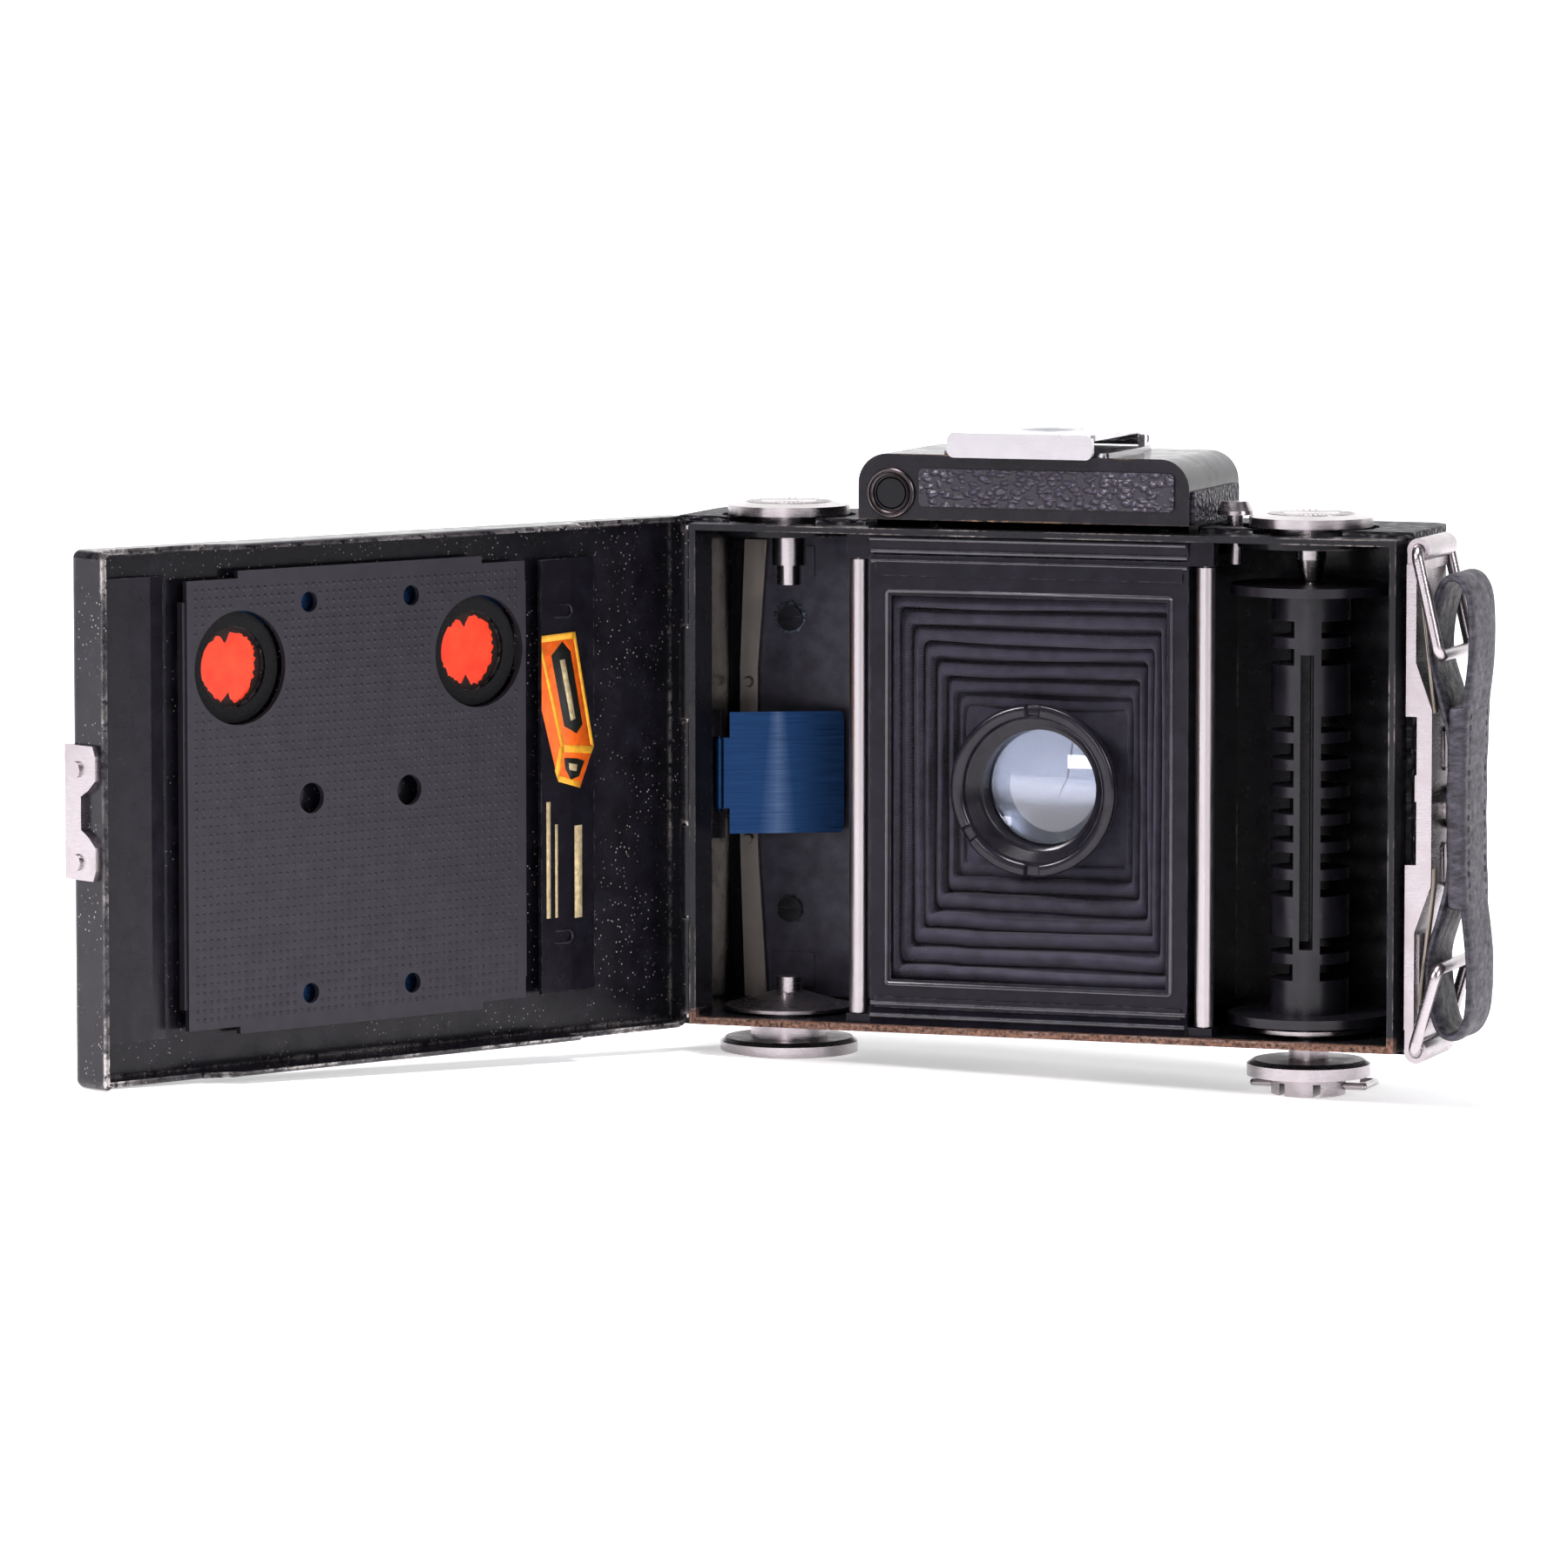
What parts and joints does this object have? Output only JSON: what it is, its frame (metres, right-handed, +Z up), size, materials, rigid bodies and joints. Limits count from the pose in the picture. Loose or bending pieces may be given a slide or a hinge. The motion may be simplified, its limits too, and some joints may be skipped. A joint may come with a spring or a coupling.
{
  "type": "folding camera",
  "caption": "Folding roll-film camera for 4.5 x 6 cm negatives, folded shut with its back door swung open, showing film gate, bellows, take-up spool and rangefinder housing.",
  "frame": {"origin": "mouth of the tripod socket in the bottom plate, under the middle of the film gate", "axes": "+X along the body towards the take-up spool and hand strap, +Y out of the front (lens) side, +Z up through the rangefinder housing"},
  "size_m": [0.1833, 0.1315, 0.0993],
  "materials": {
    "black_enamel": "gloss",
    "gate_black": "satin",
    "leather": "pebbled",
    "nickel": "satin nickel",
    "grey_steel": "brushed",
    "black_trim": "gloss",
    "blued_steel": "blued, brushed",
    "dot_plate": "matt, embossed with a dot grid",
    "spool_black": "semi-gloss",
    "optical_glass": "polished",
    "red_film": "translucent red film",
    "bellows_cloth": "fine woven cloth",
    "strap_leather": "fine grain"
  },
  "bodies": {
    "body": {"body_shell": "black_enamel", "body_leather": "leather", "film_gate": "gate_black", "tripod_bush": "nickel", "guide_strip": "grey_steel", "chamber_screws": "grey_steel", "spring_bracket": "black_trim", "door_hinge_pin": "grey_steel", "rangefinder_housing": "black_enamel", "housing_leather": "leather", "eyepiece_ring": "black_trim", "window_glasses": "optical_glass", "finder_base": "black_trim", "side_plate": "nickel", "bed_hinge_pin": "grey_steel", "bellows": "bellows_cloth"},
    "door": {"back_door": "black_enamel", "back_door_leather": "leather", "red_windows": "red_film", "film_guide_sheet": "gate_black", "end_guide_sheet": "gate_black", "plate_springs": "blued_steel", "door_catch": "nickel"},
    "plate": {"pressure_plate": "dot_plate"},
    "spool": {"take_up_spool": "spool_black"},
    "key": {"winding_key": "nickel", "drive_disc": "nickel"},
    "wing": {"key_wing": "nickel"},
    "lower_pivot": {"lower_left_pivot": "nickel"},
    "left_knob": {"top_left_knob": "nickel"},
    "right_knob": {"top_right_knob": "nickel"},
    "left_roller": {"roller_left": "nickel"},
    "right_roller": {"roller_right": "nickel"},
    "leaf": {"film_spring": "blued_steel"},
    "latch": {"latch_button": "nickel", "latch_hook": "nickel"},
    "release": {"bed_release_button": "nickel"},
    "strap": {"hand_strap": "strap_leather"},
    "upper_ring": {"strap_ring_top": "nickel"},
    "lower_ring": {"strap_ring_bottom": "nickel"},
    "front_finder": {"front_finder_frame": "nickel", "finder_lens": "optical_glass"},
    "rear_finder": {"rear_finder_frame": "nickel"},
    "bed": {"lens_bed": "black_enamel", "lens_bed_leather": "leather"},
    "left_strut": {"strut_left": "nickel"},
    "right_strut": {"strut_right": "nickel"},
    "lens_unit": {"lens_standard": "gate_black", "lens_retaining_ring": "black_trim", "rear_lens": "optical_glass", "shutter_case": "black_trim"},
    "focus": {"focus_ring": "black_trim", "front_lens_cell": "black_trim", "front_lens": "optical_glass"},
    "cocking": {"cocking_lever": "nickel"},
    "blade_1": {"shutter_blade_1": "blued_steel"},
    "blade_2": {"shutter_blade_2": "blued_steel"},
    "blade_3": {"shutter_blade_3": "blued_steel"},
    "blade_4": {"shutter_blade_4": "blued_steel"},
    "blade_5": {"shutter_blade_5": "blued_steel"}
  },
  "joints": [
    {"name": "door_hinge", "type": "hinge", "parent": "body", "child": "door", "pos_m": [-0.05464, -0.01077, 0.0381], "axis": [0, 0, 1], "range_deg": [-11, 119.2]},
    {"name": "plate_press", "type": "slide", "parent": "door", "child": "plate", "axis": [-0.8729, 0.4879, 0], "range_m": [0, 0.0007], "stiffness_N_per_m": 400, "springref_m": -0.001},
    {"name": "key_turn", "type": "hinge", "parent": "body", "child": "key", "pos_m": [0.0404, 0, -0.004], "axis": [0, 0, 1], "continuous": true},
    {"name": "spool_turn", "type": "hinge", "parent": "body", "child": "spool", "pos_m": [0.0404, 0, 0.035], "axis": [0, 0, 1], "continuous": true},
    {"name": "wing_fold", "type": "hinge", "parent": "key", "child": "wing", "pos_m": [0.0404, 0, -0.0069], "axis": [-1, 0, 0], "range_deg": [0, 90]},
    {"name": "lower_pivot_turn", "type": "hinge", "parent": "body", "child": "lower_pivot", "pos_m": [-0.0422, 0, -0.004], "axis": [0, 0, 1], "continuous": true},
    {"name": "left_knob_pull", "type": "slide", "parent": "body", "child": "left_knob", "axis": [0, 0, 1], "range_m": [0, 0.006], "stiffness_N_per_m": 150, "springref_m": -0.002},
    {"name": "right_knob_pull", "type": "slide", "parent": "body", "child": "right_knob", "axis": [0, 0, 1], "range_m": [0, 0.0045], "stiffness_N_per_m": 150, "springref_m": -0.002},
    {"name": "left_roller_turn", "type": "hinge", "parent": "body", "child": "left_roller", "pos_m": [-0.0272, -0.0109, 0.037], "axis": [0, 0, 1], "continuous": true},
    {"name": "right_roller_turn", "type": "hinge", "parent": "body", "child": "right_roller", "pos_m": [0.0273, -0.0109, 0.037], "axis": [0, 0, 1], "continuous": true},
    {"name": "leaf_flex", "type": "hinge", "parent": "body", "child": "leaf", "pos_m": [-0.05435, 0.0022, 0.03675], "axis": [0, 0, 1], "range_deg": [0, 5.5], "stiffness_Nm_per_rad": 0.05, "springref_deg": -5.73},
    {"name": "latch_press", "type": "slide", "parent": "body", "child": "latch", "axis": [-1, 0, 0], "range_m": [0, 0.0012], "stiffness_N_per_m": 300, "springref_m": -0.001},
    {"name": "release_press", "type": "slide", "parent": "body", "child": "release", "axis": [0, 0, -1], "range_m": [0, 0.0012], "stiffness_N_per_m": 300, "springref_m": -0.001},
    {"name": "strap_lift", "type": "slide", "parent": "body", "child": "strap", "axis": [1, 0, 0], "range_m": [0, 0.005]},
    {"name": "upper_ring_swing", "type": "hinge", "parent": "body", "child": "upper_ring", "pos_m": [0.0602, -0.00415, 0.0746], "axis": [0, -1, 0], "range_deg": [0, 19.6]},
    {"name": "lower_ring_swing", "type": "hinge", "parent": "body", "child": "lower_ring", "pos_m": [0.0602, -0.00415, 0.0002], "axis": [0, 1, 0], "range_deg": [0, 24.8]},
    {"name": "front_finder_fold", "type": "hinge", "parent": "body", "child": "front_finder", "pos_m": [-0.001, 0.01, 0.0889], "axis": [-1, 0, 0], "range_deg": [0, 90]},
    {"name": "rear_finder_fold", "type": "hinge", "parent": "body", "child": "rear_finder", "pos_m": [-0.001, -0.0085, 0.0887], "axis": [1, 0, 0], "range_deg": [0, 90]},
    {"name": "bed_hinge", "type": "hinge", "parent": "body", "child": "bed", "pos_m": [0, 0.0164, 0.0016], "axis": [-1, 0, 0], "range_deg": [0, 90]},
    {"name": "left_strut_fold", "type": "hinge", "parent": "bed", "child": "left_strut", "pos_m": [-0.02285, 0.0175, 0.046], "axis": [-1, 0, 0], "range_deg": [0, 73]},
    {"name": "right_strut_fold", "type": "hinge", "parent": "bed", "child": "right_strut", "pos_m": [0.02285, 0.0175, 0.046], "axis": [-1, 0, 0], "range_deg": [0, 73]},
    {"name": "lens_slide", "type": "slide", "parent": "body", "child": "lens_unit", "axis": [0, 1, 0], "range_m": [0, 0.05028], "deforming": ["bellows"]},
    {"name": "focus_turn", "type": "hinge", "parent": "lens_unit", "child": "focus", "pos_m": [0, 0.01, 0.0369], "axis": [0, 1, 0], "range_deg": [0, 270]},
    {"name": "cocking_turn", "type": "hinge", "parent": "lens_unit", "child": "cocking", "pos_m": [0, 0.009, 0.0369], "axis": [0, 1, 0], "range_deg": [0, 40]},
    {"name": "blade_1_swing", "type": "hinge", "parent": "lens_unit", "child": "blade_1", "pos_m": [0, 0.0012, 0.0501], "axis": [0, 1, 0], "range_deg": [0, 32]},
    {"name": "blade_2_swing", "type": "hinge", "parent": "lens_unit", "child": "blade_2", "pos_m": [0.01255, 0.0015, 0.04098], "axis": [0, 1, 0], "range_deg": [0, 32]},
    {"name": "blade_3_swing", "type": "hinge", "parent": "lens_unit", "child": "blade_3", "pos_m": [0.00776, 0.0018, 0.02622], "axis": [0, 1, 0], "range_deg": [0, 32]},
    {"name": "blade_4_swing", "type": "hinge", "parent": "lens_unit", "child": "blade_4", "pos_m": [-0.00776, 0.0021, 0.02622], "axis": [0, 1, 0], "range_deg": [0, 32]},
    {"name": "blade_5_swing", "type": "hinge", "parent": "lens_unit", "child": "blade_5", "pos_m": [-0.01255, 0.0024, 0.04098], "axis": [0, 1, 0], "range_deg": [0, 32]}
  ],
  "couplings": [
    {"joint": "spool_turn", "follows": "key_turn", "ratio": 1},
    {"joint": "upper_ring_swing", "follows": "strap_lift", "rad_per_m": 68},
    {"joint": "lower_ring_swing", "follows": "strap_lift", "rad_per_m": 86},
    {"joint": "rear_finder_fold", "follows": "front_finder_fold", "ratio": 1},
    {"joint": "lens_slide", "follows": "bed_hinge", "m_per_rad": 0.032},
    {"joint": "left_strut_fold", "follows": "bed_hinge", "ratio": 0.811},
    {"joint": "right_strut_fold", "follows": "bed_hinge", "ratio": 0.811},
    {"joint": "blade_2_swing", "follows": "blade_1_swing", "ratio": 1},
    {"joint": "blade_3_swing", "follows": "blade_1_swing", "ratio": 1},
    {"joint": "blade_4_swing", "follows": "blade_1_swing", "ratio": 1},
    {"joint": "blade_5_swing", "follows": "blade_1_swing", "ratio": 1}
  ]
}
